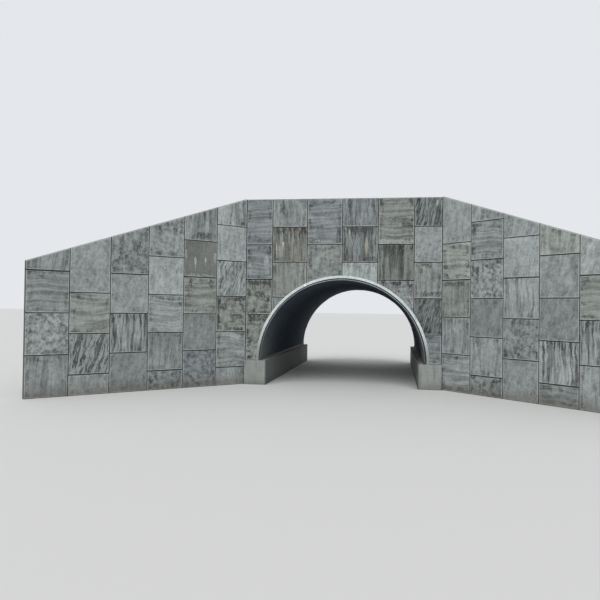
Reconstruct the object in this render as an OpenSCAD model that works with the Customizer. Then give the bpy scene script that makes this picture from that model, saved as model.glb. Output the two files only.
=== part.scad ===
// Culvert headwall: precast facing panels stacked round the mouth of a corrugated steel
// plate arch, a straight face with two flared wings whose tops fall away from it.
// Millimetres. X runs along the face with 0 on the axis of the barrel, Y runs back along
// the barrel with 0 on the front of the face, and Z is up with 0 where the wall stands.

/* [Facing panels] */
// Width of a full panel, middle of joint to middle of joint
panel_w = 1500; // [1400:10:1700]
// Height of a full panel, middle of joint to middle of joint
panel_h = 1500; // [1400:10:1700]
// Thickness of a panel
panel_t = 150; // [130:5:200]
// Width of the open joint between panels
joint_w = 20; // [15:1:30]
// Bevel cast on the front edges of a panel
bevel = 14; // [8:1:20]
// How far the half-lap reaches over the next panel
lap = 32; // [25:1:45]
// Clearance between the two halves of a half-lap, from the middle of the panel
lap_play = 6; // [4:1:10]

/* [Face] */
// Width of the narrow column at each end of the face
edge_w = 1140; // [1100:10:1300]
// Height of the face
face_h = 7960; // [7860:10:8200]
// Least height of a top piece on the face, shorter ones are cast with the panel below
face_piece_min = 500; // [480:10:600]

/* [Wings] */
// Angle by which each wing turns out of the face
wing_angle = 45; // [30:1:55]
// Width of the first column of a wing
first_w = 1440; // [1300:10:1500]
// Number of columns in a wing
wing_columns = 6; // [6]
// Fall of the wing tops per unit of run, square to the face
top_fall = 0.5; // [0.4:0.01:0.55]
// Step up from the face to the top of the wing at the corner
corner_step = 30; // [0:5:40]
// Least height of a top piece at its low end on a wing
wing_piece_min = 150; // [120:10:200]

/* [Barrel] */
// Radius of the middle of the corrugation
barrel_r = 3468; // [3400:2:3480]
// Depth of the corrugation, crest to crest
wave_d = 51; // [40:1:60]
// Length of one corrugation
wave_p = 152.4; // [140:0.2:160]
// Corrugations in the length of one plate
plate_waves = 21; // [18:1:22]
// Number of full plates round the arch
arch_plates = 5; // [5]
// Thickness of the plate, measured along the radius
plate_t = 7; // [5:0.5:9]
// Width of the bolted lap between plates
plate_lap = 150; // [100:5:200]
// How far the barrel stands out in front of the face
barrel_out = 75; // [40:5:110]

/* [Mouth] */
// Room between the barrel and the cut panels
mouth_gap = 64; // [55:1:80]
// Width of the leg of the end ring that lies on the panels
ring_face = 108; // [90:2:130]
// Length of the leg of the end ring that turns into the gap
ring_leg = 60; // [45:5:65]
// Thickness of the end ring
ring_t = 12; // [8:1:14]
// Half the angle spanned by the middle segment of the end ring
ring_seam = 26; // [20:1:40]
// Gap between the butted ends of the ring segments
ring_gap = 5; // [3:1:8]
// Clearance between the end ring and the cut edge of the panels
ring_play = 5; // [3:1:8]
// How far the filler stands back from the front of the end ring
seal_back = 25; // [18:1:40]
// Clearance between the filler and the base channel
seal_play = 5; // [3:1:10]

/* [Footings] */
// Height of the strip footings
footing_h = 1030; // [900:10:1200]
// Ledge of the footing inside the barrel
footing_ledge = 265; // [200:5:350]
// How far the footings stand out in front of the face
footing_out = 150; // [140:5:200]
// Height of the legs of the base channel
channel_h = 70; // [60:2:90]
// Thickness of the base channel
channel_t = 6; // [5:1:8]
// Clearance between the plates and each leg of the base channel
channel_play = 3; // [2:1:5]

/* [Joints and backs] */
// Length of a bearing pad
pad_l = 120; // [80:5:160]
// Width of the filter cloth bonded over the joints at the back
cloth_w = 260; // [200:10:300]
// Thickness of the filter cloth
cloth_t = 4; // [3:1:6]

/* [Hidden] */
half_h = panel_h / 2;
face_half = 2 * panel_w + edge_w;
wing_fall = top_fall * sin(wing_angle);
wing_slope = atan(wing_fall);
wing_top = face_h + corner_step;
mitre = tan(wing_angle / 2);
mitre_gap = joint_w / 2 / cos(wing_angle / 2);
mouth_r = barrel_r + wave_d / 2 + plate_t + mouth_gap;
ring_in = mouth_r - ring_t - ring_play;
seal_r = barrel_r + wave_d / 2 + plate_t;
arch_piece_min = 300;
arch_drop = 100;
plate_len = plate_waves * wave_p;
barrel_rings = 4;
barrel_end = barrel_rings * plate_len - barrel_out;
lap_turn = plate_lap / barrel_r * 180 / PI;
foot_turn = asin(channel_t / (barrel_r - wave_d / 2 - plate_t));
seal_turn = asin((channel_h + seal_play) / seal_r);
pad_places = [0.22, 0.78];
bed_cloth_share = 0.85;
over = 40;
reach = panel_t * mitre + lap + over;
$fn = 180;

concrete = [0.62, 0.62, 0.60];
zinc = [0.78, 0.80, 0.80];
black = [0.12, 0.12, 0.12];
felt = [0.30, 0.30, 0.29];

// Joint lines. Columns carry their panels alternately on full and on half heights.
function face_x(i) = i == 0 ? -face_half : i == 6 ? face_half : (i - 3) * panel_w;
function wing_s(i) = i == 0 ? 0 : first_w + (i - 1) * panel_w;
function wing_z(s) = wing_top - wing_fall * s;
function arch_z(x) = footing_h + sqrt(mouth_r * mouth_r - x * x);
function joints(off, lo, hi) =
    [for (k = [0:8]) let (z = off + k * panel_h) if (z > lo && z < hi) z];

// Levels of a face column, numbered 0 to 5 from the left: bottom, joints, top.
function face_off(i) = i % 2 == 0 ? 0 : half_h;
function face_outer(i) = i < 3 ? face_x(i) : face_x(i + 1);
function face_edge(i) = i == 0 || i == 5;
function face_low(i) = face_edge(i) ? footing_h : arch_z(face_outer(i)) - arch_drop;
function face_first(i) = face_edge(i) ? footing_h + face_piece_min
    : arch_z(face_outer(i)) + arch_piece_min;
function face_levels(i) = concat([face_low(i)],
    joints(face_off(i), face_first(i), face_h - face_piece_min), [face_h]);

// Levels of a wing column, numbered 0 to 5 from the corner, with its joints offset.
function wing_levels(i, off) = concat([0],
    joints(off, wing_piece_min, wing_z(wing_s(i + 1)) - wing_piece_min),
    [wing_z(wing_s(i))]);

// Section of a panel edge at its start and at its end, as [along, depth] points.
function edge_start(m) = m == "lap" ? [[joint_w / 2 + bevel, 0], [joint_w / 2, bevel],
        [joint_w / 2, panel_t / 2 - lap_play], [joint_w / 2 + lap, panel_t / 2 - lap_play],
        [joint_w / 2 + lap, panel_t]]
    : m == "mitre" ? [[mitre_gap + bevel, 0], [mitre_gap - bevel * mitre, bevel],
        [mitre_gap - panel_t * mitre, panel_t]]
    : [[bevel, 0], [0, bevel], [0, panel_t]];
function edge_end(m, l) = m == "lap" ? [[l - joint_w / 2 + lap, panel_t],
        [l - joint_w / 2 + lap, panel_t / 2 + lap_play],
        [l - joint_w / 2, panel_t / 2 + lap_play], [l - joint_w / 2, bevel],
        [l - joint_w / 2 - bevel, 0]]
    : m == "mitre" ? [[l - mitre_gap + panel_t * mitre, panel_t],
        [l - mitre_gap + bevel * mitre, bevel], [l - mitre_gap - bevel, 0]]
    : [[l, panel_t], [l, bevel], [l - bevel, 0]];
function section(m0, m1, l) = concat(edge_start(m0), edge_end(m1, l));
function turned(pts) = [for (p = pts) [p[1], p[0]]];

// Body swept along the width from a section given as [depth, height].
module swept(l) {
    rotate([90, 0, 90])
        linear_extrude(height = l)
            children();
}

// Front elevation of a panel whose top falls to the right from z1, seen as [along, up].
function falling(w, z0, z1) = [[-reach, z0 - over], [w + reach, z0 - over],
    [w + reach, z1 - wing_fall * (w + reach)], [-reach, z1 + wing_fall * reach]];

// The bevel along a falling top, cut by a block that leans at 45 degrees.
module falling_bevel(w, z1) {
    block = 8 * bevel;
    translate([0, 0, z1])
        rotate([0, wing_slope, 0])
            translate([-reach, 0, -bevel])
                rotate([45, 0, 0])
                    translate([0, -block / 2, 0])
                        cube([w / cos(wing_slope) + 3 * reach, block, block]);
}

// One panel from z0 to z1, its top level or falling to the right at the wing slope.
module panel(w, z0, z1, left, right, bottom, top, falls) {
    rise = z1 - z0 + (falls ? over + wing_fall * reach : 0);
    difference() {
        intersection() {
            translate([0, 0, z0 - over])
                linear_extrude(height = rise + 2 * over)
                    polygon(section(left, right, w));
            translate([-reach, 0, z0])
                swept(w + 2 * reach)
                    polygon(turned(section(bottom, top, rise)));
            if (falls)
                translate([0, panel_t + over, 0])
                    rotate([90, 0, 0])
                        linear_extrude(height = panel_t + 2 * over)
                            polygon(falling(w, z0, z1));
        }
        if (falls)
            falling_bevel(w, z1);
    }
}

// A column of panels on the given levels.
module column(w, zs, left, right, falls) {
    last = len(zs) - 2;
    color(concrete)
        for (k = [0:last])
            panel(w, zs[k], zs[k + 1], left, right, k == 0 ? "plain" : "lap",
                k == last ? "plain" : "lap", falls && k == last);
}

// The cylinder that the panels are cut to round the barrel.
module arch_cut(r) {
    translate([0, panel_t + over, footing_h])
        rotate([90, 0, 0])
            cylinder(h = panel_t + 2 * over, r = r, $fn = 720);
}

// A face column, numbered 0 to 5 from the left.
module face_column(i) {
    difference() {
        translate([face_x(i), 0, 0])
            column(face_x(i + 1) - face_x(i), face_levels(i), i == 0 ? "mitre" : "lap",
                i == 5 ? "mitre" : "lap", false);
        color(concrete)
            arch_cut(mouth_r);
    }
}

// Places a wing that starts at the right-hand corner of the face.
module wing_place() {
    translate([face_half, 0, 0])
        rotate([0, 0, -wing_angle])
            children();
}

// A wing column, numbered 0 to 5 from the corner.
module wing_column(i, off) {
    wing_place()
        translate([wing_s(i), 0, 0])
            column(wing_s(i + 1) - wing_s(i), wing_levels(i, off), i == 0 ? "mitre" : "lap",
                i == wing_columns - 1 ? "plain" : "lap", true);
}
module left_wing_column(i) {
    mirror([1, 0, 0])
        wing_column(i, i % 2 == 0 ? half_h : 0);
}
module right_wing_column(i) {
    wing_column(i, i % 2 == 0 ? 0 : half_h);
}

module face_column_1() { face_column(0); }
module face_column_2() { face_column(1); }
module face_column_3() { face_column(2); }
module face_column_4() { face_column(3); }
module face_column_5() { face_column(4); }
module face_column_6() { face_column(5); }
module left_wing_column_1() { left_wing_column(0); }
module left_wing_column_2() { left_wing_column(1); }
module left_wing_column_3() { left_wing_column(2); }
module left_wing_column_4() { left_wing_column(3); }
module left_wing_column_5() { left_wing_column(4); }
module left_wing_column_6() { left_wing_column(5); }
module right_wing_column_1() { right_wing_column(0); }
module right_wing_column_2() { right_wing_column(1); }
module right_wing_column_3() { right_wing_column(2); }
module right_wing_column_4() { right_wing_column(3); }
module right_wing_column_5() { right_wing_column(4); }
module right_wing_column_6() { right_wing_column(5); }

// Strip footing under the right-hand side of the barrel.
module right_footing() {
    x0 = barrel_r - footing_ledge;
    color(concrete)
        translate([x0, -footing_out, 0])
            cube([face_half - x0, barrel_end + footing_out, footing_h]);
}
module left_footing() {
    mirror([1, 0, 0])
        right_footing();
}

// Channel bolted along the footing, in which the lowest plates stand.
module right_base_channel() {
    in_w = wave_d + 2 * plate_t + 2 * channel_play;
    color(zinc)
        translate([barrel_r - in_w / 2 - channel_t, -barrel_out, footing_h])
            difference() {
                cube([in_w + 2 * channel_t, barrel_end + barrel_out, channel_h]);
                translate([channel_t, -over, channel_t])
                    cube([in_w, barrel_end + barrel_out + 2 * over, channel_h]);
            }
}
module left_base_channel() {
    mirror([1, 0, 0])
        right_base_channel();
}

// Corrugated plates. A corrugation is drawn with eight flats, two of them to a crest.
flat_rise = [0.414, 1, 1, 0.414, -0.414, -1, -1, -0.414];
function wave_r(k) = barrel_r + wave_d / 2 * flat_rise[k % 8];
function wave_line(y0, shift) = concat([[barrel_r + shift, -y0]],
    [for (k = [0:8 * plate_waves - 1]) [wave_r(k) + shift, -y0 - (k + 0.5) * wave_p / 8]],
    [[barrel_r + shift, -y0 - plate_len]]);
function backwards(v) = [for (i = [len(v) - 1:-1:0]) v[i]];

// Turns a section given as [radius, -depth] about the axis of the barrel.
module round_barrel(a0, a1, steps = 180) {
    translate([0, 0, footing_h])
        rotate([90, 0, 0])
            rotate([0, 0, a0])
                rotate_extrude(angle = a1 - a0, $fn = steps)
                    children();
}

// Seams of a ring of plates: every other ring is shifted by half a plate.
function ring_plates(n) = n % 2 == 0 ? arch_plates : arch_plates + 1;
function ring_turn(n, j) = let (step = 180 / arch_plates)
    n % 2 == 0 ? j * step : min(180, max(0, (j - 0.5) * step));
module barrel_plates(n, outer) {
    y0 = n * plate_len - barrel_out;
    total = ring_plates(n);
    color(zinc)
        for (j = [outer ? 1 : 0:2:total - 1]) {
            a0 = j == 0 ? foot_turn : ring_turn(n, j) - lap_turn / 2;
            a1 = j == total - 1 ? 180 - foot_turn : ring_turn(n, j + 1) + lap_turn / 2;
            round_barrel(a0, a1)
                polygon(concat(wave_line(y0, outer ? 0 : -plate_t),
                    backwards(wave_line(y0, outer ? plate_t : 0))));
        }
}
module barrel_ring_1_inner_plates() { barrel_plates(0, false); }
module barrel_ring_1_outer_plates() { barrel_plates(0, true); }
module barrel_ring_2_inner_plates() { barrel_plates(1, false); }
module barrel_ring_2_outer_plates() { barrel_plates(1, true); }
module barrel_ring_3_inner_plates() { barrel_plates(2, false); }
module barrel_ring_3_outer_plates() { barrel_plates(2, true); }
module barrel_ring_4_inner_plates() { barrel_plates(3, false); }
module barrel_ring_4_outer_plates() { barrel_plates(3, true); }

// Rolled angle round the mouth: one leg on the panels, one turned into the gap.
module end_ring(a0, a1) {
    color(zinc)
        round_barrel(a0, a1)
            polygon([[ring_in, ring_t], [ring_in + ring_face, ring_t], [ring_in + ring_face, 0],
                [ring_in + ring_t, 0], [ring_in + ring_t, ring_t - ring_leg],
                [ring_in, ring_t - ring_leg]]);
}
ring_gap_turn = ring_gap / mouth_r * 180 / PI;
module end_ring_right() { end_ring(0, 90 - ring_seam - ring_gap_turn / 2); }
module end_ring_crown() {
    end_ring(90 - ring_seam + ring_gap_turn / 2, 90 + ring_seam - ring_gap_turn / 2);
}
module end_ring_left() { end_ring(90 + ring_seam + ring_gap_turn / 2, 180); }

// Soft filler between the barrel and the cut panels.
module barrel_joint_filler() {
    color(black)
        round_barrel(seal_turn, 180 - seal_turn, 720)
            polygon([[seal_r, ring_t - seal_back], [ring_in, ring_t - seal_back],
                [ring_in, -ring_leg], [mouth_r, -ring_leg], [mouth_r, -panel_t],
                [seal_r, -panel_t]]);
}

// Two pads in the bed joint over each panel, on the upstand of the lap.
module pads_at(w, zs) {
    for (k = [1:len(zs) - 2])
        for (u = pad_places)
            translate([u * w - pad_l / 2, panel_t / 2 + lap_play, zs[k] - joint_w / 2 + lap])
                cube([pad_l, panel_t / 2 - lap_play, joint_w]);
}
module wing_pads(shift) {
    for (i = [0:wing_columns - 1])
        translate([wing_s(i), 0, 0])
            pads_at(wing_s(i + 1) - wing_s(i), wing_levels(i, (i + shift) % 2 == 0 ? half_h : 0));
}
module bearing_pads() {
    color(black) {
        difference() {
            for (i = [0:5])
                translate([face_x(i), 0, 0])
                    pads_at(face_x(i + 1) - face_x(i), face_levels(i));
            arch_cut(mouth_r + over);
        }
        wing_place()
            wing_pads(1);
        mirror([1, 0, 0])
            wing_place()
                wing_pads(0);
    }
}

// Filter cloth on the backs of the panels: strips over bed joints and upright joints.
module bed_strips(w, zs) {
    for (k = [1:len(zs) - 2])
        translate([0, panel_t, zs[k] + lap - cloth_w / 2])
            cube([w, cloth_t, cloth_w * bed_cloth_share]);
}
module upright_strip(x, low, high) {
    translate([x + lap - cloth_w / 2, panel_t, low])
        cube([cloth_w, cloth_t, high - low]);
}
module corner_strip(low, high) {
    leg = cloth_w / 2;
    turn = [for (t = [panel_t, panel_t + cloth_t]) [face_half + t * mitre, t]];
    outward = [cos(wing_angle), -sin(wing_angle)];
    translate([0, 0, low])
        linear_extrude(height = high - low)
            polygon([turn[0] - [leg, 0], turn[0], turn[0] + leg * outward,
                turn[1] + leg * outward, turn[1], turn[1] - [leg, 0]]);
}
module wing_cloth(shift) {
    wing_place() {
        for (i = [0:wing_columns - 1])
            translate([wing_s(i), 0, 0])
                bed_strips(wing_s(i + 1) - wing_s(i),
                    wing_levels(i, (i + shift) % 2 == 0 ? half_h : 0));
        for (i = [1:wing_columns - 1])
            upright_strip(wing_s(i), bevel, wing_z(wing_s(i) + cloth_w));
    }
}
module joint_filter_cloth() {
    color(felt) {
        difference() {
            union() {
                for (i = [0:5])
                    translate([face_x(i), 0, 0])
                        bed_strips(face_x(i + 1) - face_x(i), face_levels(i));
                for (i = [1:5])
                    upright_strip(face_x(i), footing_h + bevel, face_h - bevel);
            }
            arch_cut(mouth_r + over);
        }
        corner_strip(footing_h + bevel, face_h - bevel);
        wing_cloth(1);
        mirror([1, 0, 0]) {
            corner_strip(footing_h + bevel, face_h - bevel);
            wing_cloth(0);
        }
    }
}

face_column_1();
face_column_2();
face_column_3();
face_column_4();
face_column_5();
face_column_6();
left_wing_column_1();
left_wing_column_2();
left_wing_column_3();
left_wing_column_4();
left_wing_column_5();
left_wing_column_6();
right_wing_column_1();
right_wing_column_2();
right_wing_column_3();
right_wing_column_4();
right_wing_column_5();
right_wing_column_6();
left_footing();
right_footing();
left_base_channel();
right_base_channel();
barrel_ring_1_inner_plates();
barrel_ring_1_outer_plates();
barrel_ring_2_inner_plates();
barrel_ring_2_outer_plates();
barrel_ring_3_inner_plates();
barrel_ring_3_outer_plates();
barrel_ring_4_inner_plates();
barrel_ring_4_outer_plates();
end_ring_left();
end_ring_crown();
end_ring_right();
barrel_joint_filler();
bearing_pads();
joint_filter_cloth();
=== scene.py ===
import math
import random

import bmesh
import bpy
from mathutils import Matrix, Vector


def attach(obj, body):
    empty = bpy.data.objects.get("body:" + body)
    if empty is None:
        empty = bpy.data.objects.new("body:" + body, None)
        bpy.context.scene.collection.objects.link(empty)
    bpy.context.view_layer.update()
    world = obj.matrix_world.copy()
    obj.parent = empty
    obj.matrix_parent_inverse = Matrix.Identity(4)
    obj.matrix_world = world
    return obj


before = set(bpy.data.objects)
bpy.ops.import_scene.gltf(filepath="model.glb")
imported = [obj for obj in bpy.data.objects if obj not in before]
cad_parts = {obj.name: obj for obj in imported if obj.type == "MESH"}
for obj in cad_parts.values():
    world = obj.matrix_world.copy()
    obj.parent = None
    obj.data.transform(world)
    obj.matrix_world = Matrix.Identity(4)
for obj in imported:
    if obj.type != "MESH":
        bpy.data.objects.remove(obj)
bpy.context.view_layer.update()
bpy.ops.object.select_all(action="DESELECT")


# Camera: stands low in front of the mouth, a little right of the barrel's axis, and looks
# slightly left of it. Its place and turn come from fitting the joints of the facing.
CAMERA_PLACE = (2.217, -26.194, 3.271)
CAMERA_TURN = math.radians(-8.67)
CAMERA_PITCH = math.radians(0.79)
CAMERA_ROLL = math.radians(0.76)
FOCAL_PIXELS = 621.3
PICTURE_PIXELS = 600
SENSOR_WIDTH = 36.0
FARTHEST_SEEN = 2000.0

camera_data = bpy.data.cameras.new("camera")
camera_data.sensor_width = SENSOR_WIDTH
camera_data.lens = FOCAL_PIXELS / PICTURE_PIXELS * SENSOR_WIDTH
camera_data.clip_end = FARTHEST_SEEN
camera = bpy.data.objects.new("camera", camera_data)
bpy.context.scene.collection.objects.link(camera)
forward = Vector((
    math.sin(CAMERA_TURN) * math.cos(CAMERA_PITCH),
    math.cos(CAMERA_TURN) * math.cos(CAMERA_PITCH),
    math.sin(CAMERA_PITCH),
))
level_right = Vector((math.cos(CAMERA_TURN), -math.sin(CAMERA_TURN), 0.0))
level_up = level_right.cross(forward)
right = math.cos(CAMERA_ROLL) * level_right + math.sin(CAMERA_ROLL) * level_up
up = -math.sin(CAMERA_ROLL) * level_right + math.cos(CAMERA_ROLL) * level_up
looking = Matrix((right, up, -forward)).transposed().to_4x4()
camera.matrix_world = Matrix.Translation(CAMERA_PLACE) @ looking
bpy.context.scene.camera = camera


# Floor, backdrop and lamp: a plain pale floor and backdrop in soft, even light from all
# round, with one very broad lamp high in front, so that both wings are lit alike.
FLOOR_SIZE = 900.0
FLOOR_DROP = 0.002
FLOOR_COLOUR = (0.60, 0.60, 0.59, 1.0)
FLOOR_ROUGHNESS = 0.9
BACKDROP_COLOUR = (0.78, 0.80, 0.83, 1.0)
ROUND_LIGHT_COLOUR = (0.97, 0.99, 1.0, 1.0)
ROUND_LIGHT_STRENGTH = 0.72
LAMP_STRENGTH = 1.75
LAMP_BREADTH = math.radians(60.0)
LAMP_FROM = (0.0, -0.70, 0.72)

bpy.ops.mesh.primitive_plane_add(size=FLOOR_SIZE, location=(0.0, 0.0, -FLOOR_DROP))
floor = bpy.context.object
floor.name = "floor"
floor_paint = bpy.data.materials.new("floor_paint")
floor_paint.use_nodes = True
floor_shader = floor_paint.node_tree.nodes["Principled BSDF"]
floor_shader.inputs["Base Color"].default_value = FLOOR_COLOUR
floor_shader.inputs["Roughness"].default_value = FLOOR_ROUGHNESS
floor.data.materials.append(floor_paint)

# The backdrop's colour shows to the camera and in reflections, and its light does the rest.
backdrop = bpy.data.worlds.new("backdrop")
bpy.context.scene.world = backdrop
backdrop.use_nodes = True
backdrop_nodes = backdrop.node_tree.nodes
backdrop_nodes.clear()
light_path = backdrop_nodes.new("ShaderNodeLightPath")
seen = backdrop_nodes.new("ShaderNodeBackground")
seen.inputs["Color"].default_value = BACKDROP_COLOUR
lit = backdrop_nodes.new("ShaderNodeBackground")
lit.inputs["Color"].default_value = ROUND_LIGHT_COLOUR
lit.inputs["Strength"].default_value = ROUND_LIGHT_STRENGTH
either = backdrop_nodes.new("ShaderNodeMath")
either.operation = "MAXIMUM"
choice = backdrop_nodes.new("ShaderNodeMixShader")
backdrop_out = backdrop_nodes.new("ShaderNodeOutputWorld")
for source, target in (
        (light_path.outputs["Is Camera Ray"], either.inputs[0]),
        (light_path.outputs["Is Glossy Ray"], either.inputs[1]),
        (either.outputs[0], choice.inputs[0]),
        (lit.outputs[0], choice.inputs[1]),
        (seen.outputs[0], choice.inputs[2]),
        (choice.outputs[0], backdrop_out.inputs["Surface"])):
    backdrop.node_tree.links.new(source, target)

lamp_data = bpy.data.lights.new("overcast_lamp", "SUN")
lamp_data.energy = LAMP_STRENGTH
lamp_data.angle = LAMP_BREADTH
lamp = bpy.data.objects.new("overcast_lamp", lamp_data)
bpy.context.scene.collection.objects.link(lamp)
lamp.rotation_euler = Vector(LAMP_FROM).to_track_quat("Z", "Y").to_euler()
bpy.context.scene.view_settings.view_transform = "Standard"


# Facing panels of the straight face: precast concrete squares, cast face down in steel
# moulds and stacked in columns with open joints. Every casting kept its own tone and its
# own run-off, mould and curing marks, so each panel is named here with both.
PANEL = 1.5
FACE_HALF = 4.14
FACE_TOP = 7.96
FOOTING_TOP = 1.03

# Tones of the castings, from pale to dark, cool ones first and then warm ones.
PALE = (0.350, 0.382, 0.380)
ASH = (0.315, 0.345, 0.343)
LIGHT = (0.279, 0.305, 0.303)
DOVE = (0.247, 0.271, 0.268)
PLAIN = (0.226, 0.248, 0.246)
SAGE = (0.232, 0.254, 0.244)
GREENISH = (0.220, 0.240, 0.229)
GREY = (0.200, 0.220, 0.227)
DULL = (0.158, 0.175, 0.175)
SLATE = (0.130, 0.147, 0.147)
IVORY = (0.316, 0.341, 0.316)
FAWN = (0.248, 0.268, 0.250)
TAUPE = (0.208, 0.224, 0.208)
UMBER = (0.166, 0.177, 0.166)
OLIVE = (0.142, 0.153, 0.143)

# Colours of what lies on them, of the paler band along their top edges, and of the painted highlight
# and painted shade at their edges.
STAIN = (0.062, 0.068, 0.066)
BLOOM = (0.330, 0.352, 0.340)
BROWN_TINT = (0.185, 0.160, 0.120)
EDGE_HIGHLIGHT = (0.43, 0.45, 0.44)
PALE_TOP_EDGE = (0.50, 0.52, 0.51)
JOINT_SHADE = (0.042, 0.045, 0.043)
DAMP_DIRT = (0.115, 0.105, 0.085)

# Kinds of casting, and how much of each mark they show: drips, level lines, mottle, fringe
# of drips under the top edge, slanting strokes, smudges along the edges, brown tint.
MARKS = {
    "clean": (0.15, 0.10, 0.40, 0.00, 0.22, 0.35, 0.00),
    "faint": (0.55, 0.05, 0.35, 0.15, 0.00, 0.60, 0.00),
    "soft": (0.85, 0.00, 0.30, 0.00, 0.00, 0.40, 0.00),
    "level": (0.05, 1.00, 0.30, 0.00, 0.00, 0.80, 0.00),
    "drips": (1.30, 0.00, 0.30, 0.75, 0.00, 0.60, 0.10),
    "fringe": (1.15, 0.00, 0.30, 1.20, 0.00, 0.50, 0.55),
    "mottle": (0.20, 0.05, 1.15, 0.00, 0.05, 0.55, 0.00),
    "dotted": (0.25, 0.10, 0.80, 0.00, 0.05, 0.60, 0.00),
    "swirl": (0.15, 0.00, 0.35, 0.00, 1.05, 0.45, 0.00),
    "stroked": (0.50, 0.00, 0.35, 0.00, 0.72, 0.45, 0.00),
    "blotch": (0.25, 0.60, 1.05, 0.60, 0.00, 1.50, 0.10),
    "matt": (0.25, 0.00, 0.10, 0.00, 0.00, 0.25, 0.00),
}


class Paint:
    """The node tree of one finish. Its methods take sockets or values and give sockets."""

    def __init__(self, name):
        self.material = bpy.data.materials.new(name)
        self.material.use_nodes = True
        self.nodes = self.material.node_tree.nodes
        self.links = self.material.node_tree.links
        self.shader = self.nodes["Principled BSDF"]

    def put(self, socket, value):
        """Links a socket to the one that feeds it, or sets it to a number or colour."""
        if isinstance(value, bpy.types.NodeSocket):
            self.links.new(value, socket)
        elif isinstance(value, tuple) and len(value) == 3 and socket.type == "RGBA":
            socket.default_value = (*value, 1.0)
        else:
            socket.default_value = value

    def finish(self, **values):
        """Feeds the shader's sockets, each named with underscores, and gives the material."""
        for name, value in values.items():
            self.put(self.shader.inputs[name.replace("_", " ")], value)
        return self.material

    def place(self, where=(0.0, 0.0, 0.0), turn=0.0):
        """Object coordinates measured from a point, turned about the upright."""
        coordinates = self.nodes.new("ShaderNodeTexCoord")
        mapping = self.nodes.new("ShaderNodeMapping")
        mapping.vector_type = "TEXTURE"
        self.put(mapping.inputs["Vector"], coordinates.outputs["Object"])
        mapping.inputs["Location"].default_value = where
        mapping.inputs["Rotation"].default_value = (0.0, 0.0, turn)
        return mapping.outputs[0]

    def split(self, vector):
        node = self.nodes.new("ShaderNodeSeparateXYZ")
        self.put(node.inputs[0], vector)
        return node.outputs

    def scaled(self, vector, by, shift=(0.0, 0.0, 0.0)):
        """A vector, stretched along each axis and then shifted."""
        node = self.nodes.new("ShaderNodeVectorMath")
        node.operation = "MULTIPLY_ADD"
        self.put(node.inputs[0], vector)
        self.put(node.inputs[1], by)
        self.put(node.inputs[2], shift)
        return node.outputs[0]

    def reckon(self, kind, a, b=0.0):
        node = self.nodes.new("ShaderNodeMath")
        node.operation = kind
        self.put(node.inputs[0], a)
        self.put(node.inputs[1], b)
        return node.outputs[0]

    def plus(self, a, b):
        return self.reckon("ADD", a, b)

    def minus(self, a, b):
        return self.reckon("SUBTRACT", a, b)

    def times(self, first, *rest):
        for factor in rest:
            first = self.reckon("MULTIPLY", first, factor)
        return first

    def least(self, a, b):
        return self.reckon("MINIMUM", a, b)

    def most(self, a, b):
        return self.reckon("MAXIMUM", a, b)

    def unsigned(self, a):
        return self.reckon("ABSOLUTE", a)

    def span(self, value, low, high, low_out=0.0, high_out=1.0):
        """Smooth step from low_out to high_out as value goes from low to high."""
        node = self.nodes.new("ShaderNodeMapRange")
        node.interpolation_type = "SMOOTHSTEP"
        values = (value, low, high, low_out, high_out)
        for key, v in zip(("Value", "From Min", "From Max", "To Min", "To Max"), values):
            self.put(node.inputs[key], v)
        return node.outputs[0]

    def mix(self, amount, a, b, kind="MIX"):
        """Blends two colours, through the node's sockets for colours, 6, 7 and 2."""
        node = self.nodes.new("ShaderNodeMix")
        node.data_type = "RGBA"
        node.blend_type = kind
        self.put(node.inputs[0], amount)
        self.put(node.inputs[6], a)
        self.put(node.inputs[7], b)
        return node.outputs[2]

    def steps(self, value, stops):
        """Colour and fourth value that change in steps at the given places."""
        node = self.nodes.new("ShaderNodeValToRGB")
        node.color_ramp.interpolation = "CONSTANT"
        parts = node.color_ramp.elements
        parts.remove(parts[-1])
        for i, (place, colour) in enumerate(stops):
            part = parts[0] if i == 0 else parts.new(place)
            part.position = place
            part.color = (*colour, 1.0)[:4]
        self.put(node.inputs[0], value)
        return node.outputs

    def noise(self, vector, scale, detail=4.0, rough=0.55, bend=0.0):
        """Soft noise of so many patches a metre."""
        node = self.nodes.new("ShaderNodeTexNoise")
        self.put(node.inputs["Vector"], vector)
        node.inputs["Scale"].default_value = scale
        node.inputs["Detail"].default_value = detail
        node.inputs["Roughness"].default_value = rough
        node.inputs["Distortion"].default_value = bend
        return node.outputs["Fac"]

    def cells(self, vector, scale, output="Distance"):
        """Cells, so many a metre: the distance from their middles, or a colour for each."""
        node = self.nodes.new("ShaderNodeTexVoronoi")
        self.put(node.inputs["Vector"], vector)
        node.inputs["Scale"].default_value = scale
        return node.outputs[output]

    def bump(self, height, strength, distance, under=None):
        """Relief of a height, on top of the relief under it."""
        node = self.nodes.new("ShaderNodeBump")
        node.inputs["Strength"].default_value = strength
        node.inputs["Distance"].default_value = distance
        self.put(node.inputs["Height"], height)
        if under is not None:
            self.put(node.inputs["Normal"], under)
        return node.outputs[0]


def dress(node_name, material):
    """Puts a finish on a node of the frame."""
    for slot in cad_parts[node_name].material_slots:
        slot.material = material


class Column:
    """A column of panels, as seen from the front: where its left end stands, how far it is
    turned, its width, the heights of its foot, bed joints and highest corner, and the slope
    of its top."""

    def __init__(self, corner, turn, width, levels, slope=0.0):
        self.corner = corner
        self.turn = turn
        self.width = width
        self.levels = levels
        self.slope = slope

    def top_at(self, along):
        return self.levels[-1] - max(self.slope, 0.0) * self.width + self.slope * along

    def axes(self):
        return Matrix.Translation(self.corner) @ Matrix.Rotation(self.turn, 4, "Z")


# The height that a ramp's places stand for, how far patterns are shifted from panel to panel
# at most, and the share of a tone that the darkest marks leave.
RAMP_HEIGHT = 10.0
PATTERN_SHIFT = 41.0
LEAST_LIGHT = 0.22

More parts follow.
